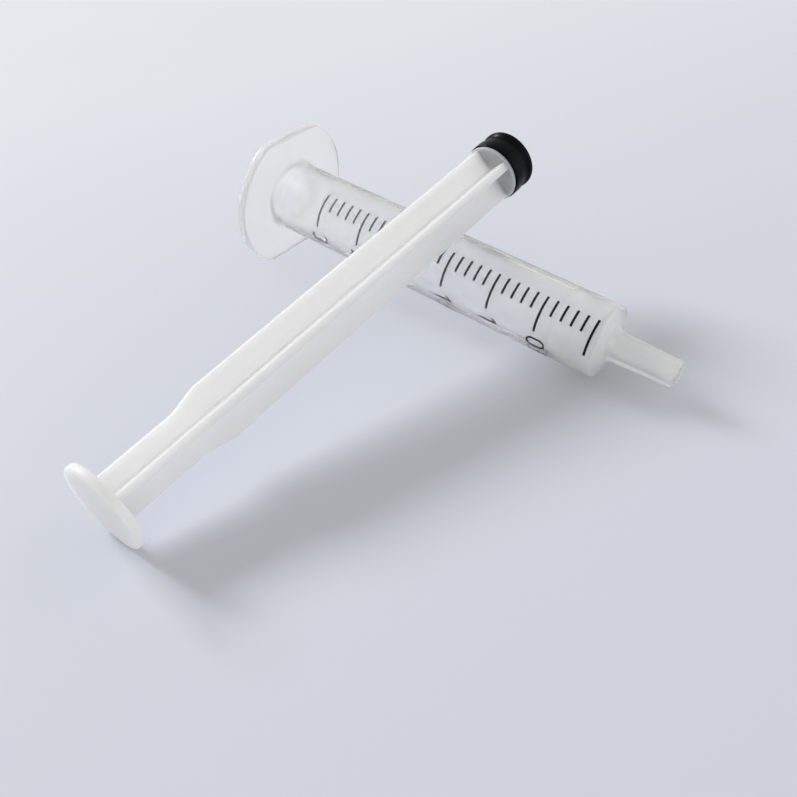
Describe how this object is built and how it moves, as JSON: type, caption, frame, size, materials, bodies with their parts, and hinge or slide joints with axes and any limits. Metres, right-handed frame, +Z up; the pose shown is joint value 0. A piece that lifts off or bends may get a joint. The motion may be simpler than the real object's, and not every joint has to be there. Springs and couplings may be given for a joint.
{
  "type": "luer slip syringe",
  "caption": "Disposable syringe with a clear graduated barrel and slip tip, its ribbed plunger and rubber stopper drawn out and laid across it.",
  "frame": {"origin": "centre of the luer tip's open end", "axes": "+Z up, as the pieces lie on a table; the barrel runs from the origin towards -X and rises to its flange; the plunger lies across it along Y, with its stopper towards +Y"},
  "size_m": [0.0707, 0.0796, 0.0235],
  "materials": {
    "clear_plastic": "smooth moulded, clear with a slight haze",
    "white_plastic": "smooth moulded, milky white",
    "black_rubber": "smooth, with a film of lubricant"
  },
  "bodies": {
    "barrel": {"barrel": "clear_plastic"},
    "plunger": {"plunger": "white_plastic"},
    "stopper": {"stopper": "black_rubber"}
  },
  "joints": [
    {"name": "plunger_stroke", "type": "slide", "parent": "barrel", "child": "plunger", "axis": [0.0455, 0.9849, 0.1671], "range_m": [0, 0.047]},
    {"name": "stopper_turn", "type": "hinge", "parent": "plunger", "child": "stopper", "pos_m": [-0.03727, 0.01103, 0.01389], "axis": [0.0455, 0.9849, 0.1671], "continuous": true}
  ]
}
